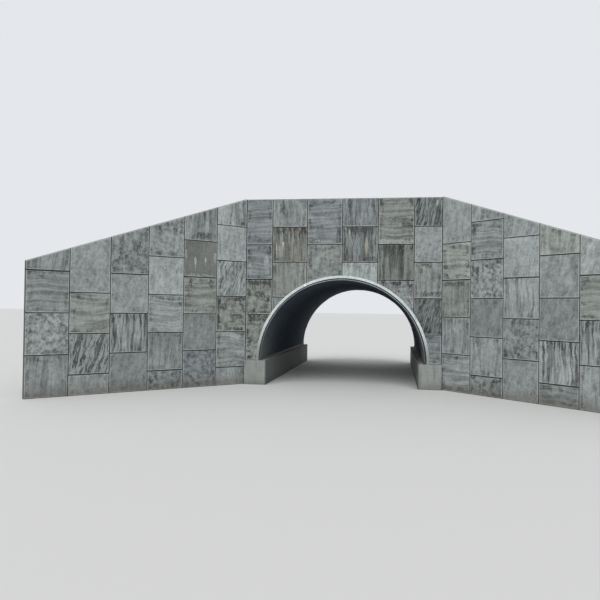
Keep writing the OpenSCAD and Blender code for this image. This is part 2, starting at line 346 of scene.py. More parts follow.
# Where each zone of a panel begins and ends, in metres from its front or from an edge, and
# for the damp from foot level.
FRONT_ENDS = (0.03, 0.10)
SMUDGES_BEGIN = (0.035, 0.07)
SMUDGES_END = (0.13, 0.32)
EDGE_HIGHLIGHT_ENDS = (0.035, 0.068)
PALE_TOP_ENDS = (0.030, 0.060)
JOINT_SHADE_ENDS = (0.012, 0.022)
DAMP_ENDS = (0.35, 0.95)

# Shares of the paler band along the top edges, and how many pores and grains a metre has.
PALE_ON_LEVEL_TOP = 0.15
PALE_ON_FALLING_TOP = 0.60
PORES_A_METRE = 26.0
GRAIN_A_METRE = 75.0


class Casting(Paint):
    """Concrete of one column, whose panels are listed from its foot up as (tone, kind). Sway
    is how far its drips stray from the plumb."""

    def __init__(self, name, column, panels, seed, sway):
        super().__init__(name)
        local = self.place(column.corner, column.turn)
        self.along, depth, self.height = self.split(local)

        # What a panel has of its own, as values that step at the bed joints.
        stepped = self.reckon("DIVIDE", self.height, RAMP_HEIGHT)
        feet = [z / RAMP_HEIGHT for z in column.levels[:-1]]
        heads = [z / RAMP_HEIGHT for z in column.levels[1:]]

        def by_panel(values):
            return self.steps(stepped, list(zip(feet, values)))

        draw = random.Random(seed)
        shifts = [(draw.random(), draw.random(), draw.random()) for _ in feet]
        marks = [MARKS[kind] for _, kind in panels]
        self.tone = by_panel([tone for tone, _ in panels])[0]
        self.drip, self.band, self.mottle = self.split(by_panel([m[0:3] for m in marks])[0])
        other_marks = by_panel([m[3:7] for m in marks])
        self.fringe, self.swirl, self.blotch = self.split(other_marks[0])
        self.brown = other_marks[1]
        foot, head, _ = self.split(by_panel([(low, high, 0.0) for low, high in zip(feet, heads)])[0])
        shift = by_panel(shifts)[0]
        self.spot = self.scaled(shift, (PATTERN_SHIFT, PATTERN_SHIFT, PATTERN_SHIFT), local)

        # Distances from the edges of the panel, and where the front ends and the back begins.
        top_line = self.plus(self.times(self.along, column.slope), column.top_at(0.0))
        self.above_foot = self.minus(self.height, self.times(foot, RAMP_HEIGHT))
        self.below_top = self.minus(top_line, self.height)
        below_head = self.minus(self.times(head, RAMP_HEIGHT), self.height)
        self.under = self.least(below_head, self.below_top)
        self.aside = self.least(self.along, self.minus(column.width, self.along))
        self.inward = self.least(self.aside, self.least(self.above_foot, self.under))
        self.front = self.span(depth, *FRONT_ENDS, 1.0, 0.0)

        # Patterns that several marks share, and slightly wavy coordinates for the drips.
        spot = self.spot
        waves = self.noise(self.scaled(spot, (1.0, 1.0, 0.8)), 1.4, 2.0, 0.5)
        self.wavy = self.scaled(waves, (sway, 0.0, sway), spot)
        self.clouds = self.noise(spot, 1.5, 4.0, 0.6, 0.4)
        self.threads = self.noise(self.scaled(self.wavy, (1.0, 1.0, 0.05)), 26.0, 3.0, 0.6)
        self.patches = self.noise(self.scaled(spot, (1.0, 1.0, 0.55)), 3.8, 5.0, 0.65, 0.2)
        self.ragged = self.times(self.minus(self.noise(spot, 9.0, 6.0, 0.72), 0.5), 0.40)
        speckle = self.noise(self.scaled(spot, (1.0, 1.0, 0.45)), 17.0, 4.0, 0.65)
        self.broken = self.span(speckle, 0.42, 0.52, 0.15, 0.90)

    def hanging(self):
        """A fringe of drips that hang from the top edge to uneven depths."""
        ends = self.noise(self.scaled(self.spot, (1.0, 1.0, 0.0)), 9.0, 3.0, 0.6)
        past_end = self.minus(self.under, self.span(ends, 0.35, 0.65, 0.14, 0.55))
        drips = self.noise(self.scaled(self.wavy, (1.0, 1.0, 0.20)), 13.0, 3.0, 0.55)
        return self.times(self.span(past_end, -0.12, 0.03, 1.0, 0.0), self.span(drips, 0.45, 0.52))

    def smudges(self):
        """Blots that lie just inside the edges."""
        zone = self.times(self.span(self.inward, *SMUDGES_BEGIN),
                          self.span(self.inward, *SMUDGES_END, 1.0, 0.0))
        return self.times(zone, self.span(self.patches, 0.49, 0.58))

    def marked_tone(self, drips_a_metre):
        """The tone of each panel, lightened and darkened by its marks."""
        spot = self.spot
        bow = self.noise(self.scaled(spot, (1.0, 1.0, 0.4)), 0.7, 1.0)
        bowed = self.scaled(bow, (0.0, 0.0, 0.5), spot)
        leaning = self.scaled(self.height, (-0.30, 0.0, 0.0), self.wavy)
        drips = self.noise(self.scaled(self.wavy, (1.0, 1.0, 0.07)), drips_a_metre, 4.0, 0.6)
        lines = self.noise(self.scaled(bowed, (0.06, 1.0, 1.0)), 9.0, 5.0, 0.68)
        blots = self.noise(spot, 5.4, 7.0, 0.70, 0.15)
        strokes = self.noise(self.scaled(leaning, (1.0, 1.0, 0.14)), 13.0, 3.0, 0.58, 0.8)
        sponge = self.noise(spot, 14.0, 5.0, 0.7)
        light = self.span(self.clouds, 0.30, 0.70, 0.12, -0.12)
        for amount, pattern, low, high, pale, dark in (
                (self.drip, drips, 0.42, 0.60, 0.22, -0.36),
                (self.drip, self.threads, 0.42, 0.62, 0.10, -0.14),
                (self.band, lines, 0.42, 0.60, 0.18, -0.26),
                (self.mottle, blots, 0.40, 0.62, 0.18, -0.42),
                (self.swirl, strokes, 0.43, 0.57, 0.26, -0.50),
                (self.fringe, self.hanging(), 0.0, 1.0, 0.06, -0.50),
                (self.blotch, self.smudges(), 0.0, 1.0, 0.0, -0.46),
                (1.0, sponge, 0.35, 0.65, 0.11, -0.11)):
            light = self.plus(light, self.times(amount, self.span(pattern, low, high, pale, dark)))
        light = self.plus(1.0, self.times(light, self.span(self.front, 0.0, 1.0, 0.35, 1.0)))
        colour = self.mix(1.0, self.tone, self.most(light, LEAST_LIGHT), "MULTIPLY")
        tinted = self.times(self.brown, self.span(self.clouds, 0.40, 0.60), self.front, 0.5)
        return self.mix(tinted, colour, BROWN_TINT)

    def with_patch(self, colour, laid, along, top, width, length):
        """Adds a patch with a ragged outline, which fades downwards."""
        offset = self.unsigned(self.minus(self.along, along))
        across = self.span(self.plus(offset, self.ragged), 0.4 * width, 0.7 * width, 1.0, 0.0)
        fallen = self.plus(self.minus(top, self.height), self.ragged)
        down = self.times(self.span(fallen, -0.02, 0.03),
                          self.span(fallen, 0.5 * length, 1.1 * length, 1.0, 0.0))
        return self.mix(self.times(across, down, self.front, self.broken), colour, laid)

    def with_run(self, colour, along, top, length, width, laid):
        """Adds a run-down mark, which starts thin, swells, and thins out again as it fades."""
        fallen = self.minus(top, self.height)
        offset = self.unsigned(self.minus(self.along, along))
        offset = self.plus(offset, self.times(self.ragged, 0.25))
        half = self.least(
            self.span(fallen, 0.0, 0.3 * length, 0.06 * width, 0.5 * width),
            self.span(fallen, 0.35 * length, 0.9 * length, 0.5 * width, 0.12 * width))
        soft_edge = self.span(self.minus(offset, half), -0.026, 0.018, 1.0, 0.0)
        fading = self.span(fallen, 0.45 * length, length, 1.0, 0.0)
        threaded = self.span(self.threads, 0.3, 0.6, 0.5, 1.0)
        run = self.times(soft_edge, self.span(fallen, 0.0, 0.08), fading, threaded)
        return self.mix(self.times(run, self.front, 0.88), colour, laid)

    def with_edges(self, colour, pale_on_top):
        """Adds a painted highlight along the side and foot edges, a paler band along the top,
        painted shade in the bevels beside the joints, and damp low down.
        """
        # A painted highlight: paler along the sides and foot, where the bevels catch the light.
        framed = self.least(self.plus(self.aside, 0.008), self.above_foot)
        edge_highlight = self.times(self.span(framed, *EDGE_HIGHLIGHT_ENDS, 1.0, 0.0),
                         self.span(self.patches, 0.40, 0.54, 0.30, 1.0))
        colour = self.mix(self.times(edge_highlight, self.front, 0.55), colour, EDGE_HIGHLIGHT)
        # Paler along the top edge, more so where the top falls.
        cap = self.times(self.span(self.below_top, *PALE_TOP_ENDS, 1.0, 0.0), self.front)
        colour = self.mix(self.times(cap, pale_on_top), colour, PALE_TOP_EDGE)
        # Painted shade: darker in the bevels beside the open joints.
        joint_shade = self.times(self.span(self.inward, *JOINT_SHADE_ENDS, 0.80, 0.0),
                          self.span(self.below_top, 0.0, 0.02))
        colour = self.mix(joint_shade, colour, JOINT_SHADE)
        reach = self.plus(self.height, self.times(self.patches, 0.7))
        damp = self.times(self.span(reach, *DAMP_ENDS, 0.55, 0.0), self.front)
        return self.mix(damp, colour, DAMP_DIRT)

    def with_skin(self, colour):
        """Finishes the concrete with grain, pores, and float marks on the back."""
        grain = self.noise(self.spot, GRAIN_A_METRE, 3.0, 0.65)
        colour = self.mix(1.0, colour, self.span(grain, 0.25, 0.75, 0.88, 1.12), "MULTIPLY")
        pores = self.span(self.cells(self.spot, PORES_A_METRE), 0.05, 0.16)
        floated = self.noise(self.scaled(self.spot, (0.25, 1.0, 1.0)), 30.0, 3.0, 0.6, 2.0)
        form = self.bump(self.clouds, 0.20, 0.02)
        skin = self.bump(grain, 0.22, 0.004, form)
        back = self.minus(1.0, self.front)
        trowel = self.bump(self.times(floated, back), 0.4, 0.006, skin)
        return self.finish(
            Base_Color=colour, Roughness=self.span(self.patches, 0.3, 0.7, 0.76, 0.94),
            Specular_IOR_Level=0.3, Normal=self.bump(pores, 0.35, 0.004, trowel))


def panel_concrete(name, column, panels, seed, sway=0.3, drips_a_metre=7.5, runs=(), stains=(),
                   blooms=()):
    """Concrete of one column. Runs are pale run-down marks, each as (along, top, length,
    width, colour). Stains are dark patches and blooms pale patches of lime, each as (along,
    top, width, length)."""
    p = Casting(name, column, panels, seed, sway)
    colour = p.marked_tone(drips_a_metre)
    for stain in stains:
        colour = p.with_patch(colour, STAIN, *stain)
    for bloom in blooms:
        colour = p.with_patch(colour, BLOOM, *bloom)
    for run in runs:
        colour = p.with_run(colour, *run)
    colour = p.with_edges(colour, PALE_ON_FALLING_TOP if column.slope else PALE_ON_LEVEL_TOP)
    return p.with_skin(colour)


# Edges of the columns, and for each column its foot and bed joints and its castings from
# the foot up. The columns over the mouth are listed from inside its outline.
FACE_EDGES = [-FACE_HALF, -2 * PANEL, -PANEL, 0.0, PANEL, 2 * PANEL, FACE_HALF]
FACE_PANELS = [
    ([FOOTING_TOP, 3.0, 4.5, 6.0],
     [(TAUPE, "blotch"), (TAUPE, "blotch"), (GREY, "level"), (GREY, "level")]),
    ([2.0, 3.75, 5.25, 6.75],
     [(PLAIN, "faint"), (TAUPE, "faint"), (UMBER, "fringe"), (PLAIN, "faint")]),
    ([4.0, 6.0],
     [(GREENISH, "dotted"), (GREY, "level")]),
    ([4.0, 5.25, 6.75],
     [(ASH, "faint"), (DULL, "drips"), (GREY, "soft")]),
    ([2.0, 4.5, 6.0],
     [(PLAIN, "blotch"), (OLIVE, "drips"), (TAUPE, "level")]),
    ([FOOTING_TOP, 2.25, 3.75, 5.25, 6.75],
     [(GREY, "level"), (SLATE, "swirl"), (SAGE, "faint"), (LIGHT, "clean"), (DULL, "swirl")]),
]

# How far the drips of each column stray from the plumb, and how many hang on a metre.
FACE_SWAY = (0.3, 0.2, 0.3, 0.45, 0.12, 0.2)
FACE_DRIPS = (7.5, 11.0, 7.5, 11.0, 7.5, 7.5)

# Marks that stand out on single castings, by column, in metres from its left end and foot
# level, in the order that panel_concrete gives.
TAN = (0.36, 0.335, 0.265)
CHALK = (0.47, 0.48, 0.43)
FACE_RUNS = {
    1: [(0.46, 6.18, 0.40, 0.085, CHALK), (0.18, 6.20, 1.05, 0.045, CHALK)],
    3: [(1.02, 6.40, 1.20, 0.150, TAN), (0.30, 6.66, 0.50, 0.055, CHALK)],
    5: [(0.91, 7.90, 0.42, 0.065, CHALK)],
}
FACE_STAINS = {
    0: [(1.04, 5.82, 0.18, 0.34), (0.85, 6.20, 0.40, 0.10), (0.15, 4.44, 0.30, 0.15),
        (0.52, 4.40, 0.30, 0.17), (0.92, 4.44, 0.24, 0.18), (0.62, 4.00, 0.40, 0.40),
        (0.45, 2.84, 0.60, 0.13), (0.57, 4.45, 0.95, 0.13)],
    1: [(0.10, 5.12, 0.16, 0.50), (0.42, 7.75, 0.20, 0.50), (0.18, 5.44, 0.14, 0.18)],
    2: [(1.36, 6.62, 0.18, 0.58), (0.12, 6.98, 0.15, 0.12), (0.40, 6.80, 0.55, 0.16)],
    3: [(0.10, 5.64, 0.20, 0.38), (1.32, 5.50, 0.20, 0.24), (0.80, 6.72, 0.90, 0.28),
        (0.31, 7.92, 0.11, 0.95)],
    4: [(0.10, 7.94, 0.20, 0.46), (1.40, 7.94, 0.20, 0.48), (0.70, 7.12, 0.95, 0.07),
        (1.15, 6.95, 0.35, 0.32), (0.42, 5.95, 0.34, 0.50)],
    5: [(0.47, 5.20, 0.26, 0.12), (0.28, 4.98, 0.14, 0.20), (0.75, 4.04, 0.80, 0.22)],
}
FACE_BLOOMS = {
    0: [(0.88, 5.52, 0.16, 0.70), (0.16, 5.20, 0.12, 0.60)],
    2: [(0.12, 7.34, 0.20, 0.34), (0.60, 6.18, 0.90, 0.10)],
    4: [(0.75, 6.20, 1.50, 0.18)],
}
FACE_SEED = 11
columns = []
for i, (beds, panels) in enumerate(FACE_PANELS):
    start, end = FACE_EDGES[i:i + 2]
    column = Column((start, 0.0, 0.0), 0.0, end - start, beds + [FACE_TOP])
    columns.append(column)
    dress(f"face_column_{i + 1}", panel_concrete(
        f"face_concrete_{i + 1}", column, panels, FACE_SEED + i, sway=FACE_SWAY[i],
        drips_a_metre=FACE_DRIPS[i], runs=FACE_RUNS.get(i, ()), stains=FACE_STAINS[i],
        blooms=FACE_BLOOMS.get(i, ())))


# Facing panels of the wings: the same castings, turned out from the face by 45 degrees,
# with the top piece of each column cast to the fall of the wing.
WING_TURN = math.radians(45.0)
WING_TOP = 7.99
FALL_A_METRE_OUT = 0.5
WING_FALL = FALL_A_METRE_OUT * math.sin(WING_TURN)
FIRST_WIDTH = 1.44
HALF_PANEL = PANEL / 2
LEAST_PIECE = 0.15
LEFT_PANELS = [
    [(LIGHT, "faint"), (LIGHT, "level"), (FAWN, "blotch"), (ASH, "stroked"),
     (PALE, "clean"), (ASH, "soft")],
    [(GREY, "mottle"), (PLAIN, "clean"), (FAWN, "level"), (UMBER, "matt"), (DOVE, "soft")],
    [(PLAIN, "mottle"), (PLAIN, "faint"), (LIGHT, "level"), (PALE, "clean"), (LIGHT, "dotted")],
    [(PLAIN, "clean"), (PLAIN, "drips"), (LIGHT, "clean"), (PLAIN, "mottle")],
    [(LIGHT, "clean"), (PLAIN, "swirl"), (FAWN, "level"), (LIGHT, "clean")],
    [(PLAIN, "faint"), (LIGHT, "mottle"), (PLAIN, "level"), (PLAIN, "soft")],
]
RIGHT_PANELS = [
    [(LIGHT, "level"), (LIGHT, "faint"), (FAWN, "faint"), (IVORY, "level"), (ASH, "clean")],
    [(PLAIN, "mottle"), (LIGHT, "faint"), (PLAIN, "clean"), (LIGHT, "mottle"), (DOVE, "level"),
     (ASH, "faint")],
    [(LIGHT, "clean"), (PLAIN, "mottle"), (LIGHT, "soft"), (PALE, "clean"), (ASH, "clean")],
    [(PLAIN, "level"), (LIGHT, "drips"), (PLAIN, "clean"), (LIGHT, "clean"), (IVORY, "faint")],
    [(LIGHT, "faint"), (PLAIN, "drips"), (FAWN, "level"), (PALE, "clean")],
    [(LIGHT, "mottle"), (PLAIN, "level"), (LIGHT, "faint"), (PLAIN, "clean")],
]
LEFT_RUNS = {1: [(0.50, 5.42, 0.75, 0.095, CHALK), (0.96, 5.38, 0.42, 0.080, CHALK)]}
LEFT_STAINS = {
    0: [(1.25, 6.97, 0.24, 0.18), (1.41, 3.80, 0.10, 0.12), (0.25, 3.45, 0.45, 0.34),
        (1.00, 3.00, 0.60, 0.24)],
    1: [(0.30, 4.44, 0.15, 0.45), (1.23, 4.44, 0.16, 0.50), (0.85, 6.34, 0.70, 0.28)],
    2: [(0.45, 6.50, 0.13, 0.45), (1.10, 6.55, 0.16, 0.42)],
    3: [(0.40, 5.40, 0.14, 0.40), (1.10, 5.75, 0.14, 0.40)],
}
LEFT_BLOOMS = {1: [(0.08, 5.60, 0.10, 0.55), (1.40, 5.55, 0.10, 0.50), (0.75, 4.62, 1.20, 0.10)]}
RIGHT_STAINS = {
    0: [(0.10, 5.76, 0.18, 0.12), (0.13, 5.14, 0.22, 0.18), (0.22, 4.78, 0.24, 0.15),
        (1.30, 5.20, 0.16, 0.28), (0.60, 4.42, 0.95, 0.18)],
    1: [(0.13, 6.70, 0.18, 0.50), (0.10, 5.80, 0.16, 0.42), (0.32, 5.00, 0.11, 0.48),
        (0.75, 5.08, 0.16, 0.18), (1.25, 5.22, 0.36, 0.18)],
}


def wing_start(i):
    """Distance of a wing column's start from the corner."""
    return 0.0 if i == 0 else FIRST_WIDTH + (i - 1) * PANEL


def wing_column(side, i):
    """A column of the right wing, side 1.0, or of the left one, side -1.0."""
    near = wing_start(i)
    far = wing_start(i + 1)
    left_end = near if side > 0.0 else far
    corner = (side * (FACE_HALF + left_end * math.cos(WING_TURN)),
              -left_end * math.sin(WING_TURN), 0.0)
    stagger = 0.0 if (i % 2 == 0) == (side > 0.0) else HALF_PANEL
    low_corner = WING_TOP - WING_FALL * far
    beds = [stagger + k * PANEL for k in range(int(low_corner / PANEL) + 1)]
    beds = [z for z in beds if LEAST_PIECE < z < low_corner - LEAST_PIECE]
    levels = [0.0] + beds + [WING_TOP - WING_FALL * near]
    return Column(corner, -side * WING_TURN, far - near, levels, -side * WING_FALL)


RIGHT_SEED = 31
LEFT_SEED = 51
for i, (right_panels, left_panels) in enumerate(zip(RIGHT_PANELS, LEFT_PANELS)):
    right_column = wing_column(1.0, i)
    left_column = wing_column(-1.0, i)
    columns += [right_column, left_column]
    dress(f"right_wing_column_{i + 1}", panel_concrete(
        f"right_wing_concrete_{i + 1}", right_column, right_panels, RIGHT_SEED + i,
        stains=RIGHT_STAINS.get(i, ())))
    dress(f"left_wing_column_{i + 1}", panel_concrete(
        f"left_wing_concrete_{i + 1}", left_column, left_panels, LEFT_SEED + i,
        runs=LEFT_RUNS.get(i, ()), stains=LEFT_STAINS.get(i, ()),
        blooms=LEFT_BLOOMS.get(i, ())))


# Strip footings: concrete cast in place between rough boards, so their sides carry the
# print of level boards. The feet of the barrel stand on them, and their inner faces are
# dark with damp and painted shade, and streaked with run-down stains.
BOARD = 0.15
SEAM_SHARE = 0.035
DAMP_HEIGHTS = (0.15, 0.75)
INNER_FACE_ENDS = (3.21, 3.28)
POURED_DARK = (0.19, 0.20, 0.19)
POURED_PALE = (0.34, 0.36, 0.34)
RUN_DOWN = (0.08, 0.08, 0.07)
DAMP_FOOT = (0.07, 0.075, 0.06)
DAMP_AND_SHADE_FACE = (0.060, 0.068, 0.070)
SEAM_DIRT = (0.10, 0.10, 0.09)


def footing_concrete():
    p = Paint("footing_concrete")
    spot = p.place()
    from_axis, _, height = p.split(spot)
    clouds = p.noise(spot, 1.1, 5.0, 0.6, 0.5)
    grain = p.noise(spot, 70.0, 3.0, 0.6)
    wood = p.noise(p.scaled(spot, (1.0, 0.05, 1.0)), 40.0, 4.0, 0.6, 0.3)
    boards = p.reckon("FRACT", p.reckon("DIVIDE", height, BOARD))
    seam = p.span(p.least(boards, p.minus(1.0, boards)), 0.0, SEAM_SHARE)
    streaks = p.noise(p.scaled(spot, (1.0, 1.0, 0.12)), 7.0, 5.0, 0.6, 0.3)
    colour = p.mix(clouds, POURED_DARK, POURED_PALE)
    colour = p.mix(p.span(streaks, 0.50, 0.70, 0.0, 0.5), colour, RUN_DOWN)
    damp = p.span(p.plus(height, p.times(clouds, 0.5)), *DAMP_HEIGHTS, 0.6, 0.0)
    colour = p.mix(damp, colour, DAMP_FOOT)
    # The inner faces, inside the barrel, are darker: damp, and painted shade.
    inner = p.span(p.unsigned(from_axis), *INNER_FACE_ENDS, 0.65, 0.0)
    colour = p.mix(inner, colour, DAMP_AND_SHADE_FACE)
    colour = p.mix(p.times(p.minus(1.0, seam), 0.35), colour, SEAM_DIRT)
    colour = p.mix(1.0, colour, p.span(grain, 0.25, 0.75, 0.88, 1.10), "MULTIPLY")
    board_print = p.bump(wood, 0.3, 0.002, p.bump(seam, 0.5, 0.004))
    return p.finish(Base_Color=colour, Roughness=p.span(clouds, 0.3, 0.7, 0.75, 0.92),
                    Normal=p.bump(grain, 0.2, 0.003, board_print))


poured_concrete = footing_concrete()
for side in ("left", "right"):
    dress(f"{side}_footing", poured_concrete)


# Barrel plates: corrugated structural plate, rolled to the arch, hot-dip galvanised and
# bolted together in laps. Outside it has dulled to blue-grey. Inside, painted shade with dirt
# streaks darkens it, painted light falls in low at the mouth and from the far end, and it is
# rust-brown low down.
RINGS = 4
WHITE_RUST = (0.52, 0.54, 0.54)
LOW_DARKENING = (0.16, 0.17, 0.16)
STREAK_DIRT = (0.05, 0.055, 0.055)
RED_RUST = (0.16, 0.09, 0.05)
# Painted shade of the barrel's inside.
PAINTED_INSIDE_SHADE = (0.018, 0.034, 0.058)
STREAK_SHADE = 0.55
# Painted light falling in at the mouth.
MOUTH_LIGHT = (0.085, 0.098, 0.098)
# Painted light falling in from the far opening.
FAR_END_LIGHT = (0.130, 0.170, 0.205)
JOINT_HIGHLIGHT = (0.88, 0.90, 0.89)

# In metres: heights between which marks, darkening and painted light fade upwards, depths
# between which painted light comes or goes, and how far from a joint the painted highlight ends.
DARKENING_HEIGHTS = (1.1, 2.7)
RUST_HEIGHTS = (1.05, 1.9)
MOUTH_LIGHT_HEIGHTS = (1.3, 3.4)
MOUTH_LIGHT_DEPTHS = (0.0, 3.5)
FAR_LIGHT_DEPTHS = (4.5, 12.0)
JOINT_HIGHLIGHT_ENDS = (0.025, 0.050)


def barrel_shade_and_grime(p, spot, streaks):
    """How far a place faces the barrel's axis, and its colour there: painted shade with dirt
    streaks, and painted light at the mouth and from the far end.
    """
    to_axis = p.nodes.new("ShaderNodeVectorMath")
    to_axis.operation = "DOT_PRODUCT"
    p.put(to_axis.inputs[0], p.nodes.new("ShaderNodeTexCoord").outputs["Normal"])
    p.put(to_axis.inputs[1], p.scaled(spot, (1.0, 0.0, 1.0), (0.0, 0.0, -FOOTING_TOP)))
    inner = p.span(to_axis.outputs["Value"], 0.4, 1.2, 1.0, 0.0)
    _, depth, height = p.split(spot)
    # The inside's dark blue is painted shade; darker dirt streaks lie on it.
    streaked = tuple(STREAK_SHADE * c for c in PAINTED_INSIDE_SHADE)
    shade_and_grime = p.mix(p.span(streaks, 0.35, 0.65), PAINTED_INSIDE_SHADE, streaked)
    # Painted light: paler low down near the mouth, where light falls in.
    mouth_light = p.times(p.span(height, *MOUTH_LIGHT_HEIGHTS, 1.0, 0.0),
                   p.span(depth, *MOUTH_LIGHT_DEPTHS, 1.0, 0.0))
    shade_and_grime = p.mix(mouth_light, shade_and_grime, MOUTH_LIGHT)
    # Painted light: paler towards the far end, where light falls in from the far opening.
    return inner, p.mix(p.span(depth, *FAR_LIGHT_DEPTHS, 0.0, 0.85), shade_and_grime, FAR_END_LIGHT)


def zinc_coat(name, dark, pale, bloom, rust, metallic=0.5, shaded_and_grimy=False, joint=None):
    """Galvanised steel between two greys, darker towards the bottom. Bloom is its share of white
    rust, and rust its share of red rust low down. Where asked, the side that faces the axis has the
    barrel's painted shade, painted light and dirt streaks. Joint is the angle of a butt joint, along
    which a painted highlight lies."""
    p = Paint(name)
    spot = p.place()
    height = p.split(spot)[2]
    flake = p.split(p.cells(spot, 26.0, "Color"))[0]
    patch = p.noise(spot, 1.4, 5.0, 0.6, 0.6)
    fine = p.noise(spot, 22.0, 4.0, 0.6)
    streaks = p.noise(p.scaled(spot, (1.0, 1.0, 0.16)), 9.0, 5.0, 0.6, 0.4)
    colour = p.mix(p.span(patch, 0.30, 0.70), dark, pale)
    colour = p.mix(1.0, colour, p.span(flake, 0.0, 1.0, 0.90, 1.12), "MULTIPLY")
    colour = p.mix(p.times(p.span(fine, 0.52, 0.70), bloom), colour, WHITE_RUST)
    # Darker towards the bottom.
    colour = p.mix(p.span(height, *DARKENING_HEIGHTS, 0.75, 0.0), colour, LOW_DARKENING)
    roughness = p.span(patch, 0.3, 0.7, 0.42, 0.62)
    if shaded_and_grimy:
        inner, shade_and_grime = barrel_shade_and_grime(p, spot, streaks)
        # On the side that faces the axis: the barrel's painted shade, painted light and dirt
        # streaks.
        colour = p.mix(p.times(inner, 0.94), colour, shade_and_grime)
        metallic = p.span(inner, 0.0, 1.0, metallic, 0.15)
        roughness = p.most(roughness, p.times(inner, 0.8))
    colour = p.mix(p.span(streaks, 0.54, 0.74, 0.0, 0.30), colour, STREAK_DIRT)
    low_down = p.times(p.span(height, *RUST_HEIGHTS, 1.0, 0.0), p.span(fine, 0.40, 0.62), rust)
    colour = p.mix(low_down, colour, RED_RUST)
    if joint is not None:
        # A painted highlight along the ring's joint.
        side, _, up = p.split(p.scaled(spot, (1.0, 1.0, 1.0), (0.0, 0.0, -FOOTING_TOP)))
        across = p.minus(p.times(side, math.sin(joint)), p.times(up, math.cos(joint)))
        highlight = p.span(p.unsigned(across), *JOINT_HIGHLIGHT_ENDS, 1.0, 0.0)
        colour = p.mix(highlight, colour, JOINT_HIGHLIGHT)
    return p.finish(Base_Color=colour, Metallic=metallic, Roughness=roughness,
                    Normal=p.bump(flake, 0.06, 0.001, p.bump(patch, 0.12, 0.01)))


PLATE_GREYS = ((0.24, 0.27, 0.28), (0.38, 0.41, 0.42))
plate_zinc = zinc_coat("plate_zinc", *PLATE_GREYS, bloom=0.35, rust=0.15, shaded_and_grimy=True)
for ring in range(RINGS):
    dress(f"barrel_ring_{ring + 1}_inner_plates", plate_zinc)
    dress(f"barrel_ring_{ring + 1}_outer_plates", plate_zinc)


# Seam bolts: hot-dip galvanised 20 mm bolts through the laps of the plates, in two rows,
# one in the outward crests and one in the inward ones. Heads are inside, nuts outside.
WAVE = 0.1524
WAVES_IN_PLATE = 21
PLATE_LENGTH = WAVES_IN_PLATE * WAVE
BARREL_FRONT = -0.075
MIDDLE_RADIUS = 3.468
HALF_WAVE_DEPTH = 0.0255
PLATE_THICKNESS = 0.007
PLATES_IN_RING = 5
HALF_TURN = 180.0
SEAM_STEP = HALF_TURN / PLATES_IN_RING
ROW_SPACING = 0.075
BOLT_ACROSS = 0.032
HEAD_HEIGHT = 0.013
NUT_HEIGHT = 0.019
STUD = 0.009

# Rounding of a head's corners and of the rim round a stud, as shares of its width.
CORNER_SHARE = 0.09
RIM_SHARE = 0.13


def pick_faces(piece, test):
    """In edit mode, selects the faces that pass a test and no others."""
    mesh = bmesh.from_edit_mesh(piece.data)
    bpy.ops.mesh.select_mode(type="FACE")
    bpy.ops.mesh.select_all(action="DESELECT")
    for face in mesh.faces:
        face.select = test(face)
    mesh.select_flush_mode()
    bmesh.update_edit_mesh(piece.data)


def is_top(face):
    """Whether a face looks up."""
    return face.normal.z > 0.9


def hexagon(across, height, stud, into):
    """A bolt head, or a nut with a stud's end, on the origin and turned into a direction."""
    bpy.ops.object.select_all(action="DESELECT")
    bpy.ops.mesh.primitive_cylinder_add(
        vertices=6, radius=across / math.sqrt(3.0), depth=height, location=(0.0, 0.0, height / 2))
    piece = bpy.context.object
    bpy.ops.object.transform_apply(location=True, rotation=False, scale=False)
    bpy.ops.object.mode_set(mode="EDIT")
    pick_faces(piece, is_top)
    bpy.ops.mesh.bevel(offset=across * CORNER_SHARE, segments=1)
    if stud > 0.0:
        pick_faces(piece, is_top)
        bpy.ops.mesh.inset(thickness=across * RIM_SHARE)
        bpy.ops.mesh.extrude_region_move(TRANSFORM_OT_translate={"value": (0.0, 0.0, stud)})
    bpy.ops.object.mode_set(mode="OBJECT")
    piece.data.transform(Vector(into).to_track_quat("Z", "Y").to_matrix().to_4x4())
    return piece


def moved(piece, matrix):
    """A copy of a piece with a mesh of its own, moved."""
    copy = piece.copy()
    copy.data = piece.data.copy()
    copy.data.transform(matrix)
    bpy.context.scene.collection.objects.link(copy)
    return copy


def joined(name, pieces, material):
    """Joins pieces into one that rides on the wall and takes a finish."""
    bpy.ops.object.select_all(action="DESELECT")
    for piece in pieces:
        piece.select_set(True)
    bpy.context.view_layer.objects.active = pieces[0]
    bpy.ops.object.join()
    whole = bpy.context.object
    whole.name = name
    whole.data.materials.clear()
    whole.data.materials.append(material)
    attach(whole, "root")
    whole.select_set(False)
    return whole


def in_a_row(piece, count, step):
    """Repeats a piece along the barrel with an array, applied."""
    array = piece.modifiers.new("row", "ARRAY")
    array.count = count
    array.use_relative_offset = False
    array.use_constant_offset = True
    array.constant_offset_displace = (0.0, step, 0.0)
    bpy.context.view_layer.objects.active = piece
    bpy.ops.object.modifier_apply(modifier="row")
    return piece


def round_axis(degrees):
    """Turns from the crown of the barrel to an angle measured up from its right foot."""
    axis = Matrix.Translation((0.0, 0.0, FOOTING_TOP))
    turn = Matrix.Rotation(math.radians(HALF_TURN / 2 - degrees), 4, "Y")
    return axis @ turn @ axis.inverted()


def crown_bolts(crest, y):
    """One bolt at the crown through both plates: head inside, nut outside."""
    inside = MIDDLE_RADIUS + crest * HALF_WAVE_DEPTH - PLATE_THICKNESS
    head = hexagon(BOLT_ACROSS, HEAD_HEIGHT, 0.0, (0.0, 0.0, -1.0))
    head.data.transform(Matrix.Translation((0.0, y, FOOTING_TOP + inside)))
    nut = hexagon(BOLT_ACROSS, NUT_HEIGHT, STUD, (0.0, 0.0, 1.0))
    nut.data.transform(Matrix.Translation(
        (0.0, y, FOOTING_TOP + inside + 2 * PLATE_THICKNESS)))
    return [head, nut]


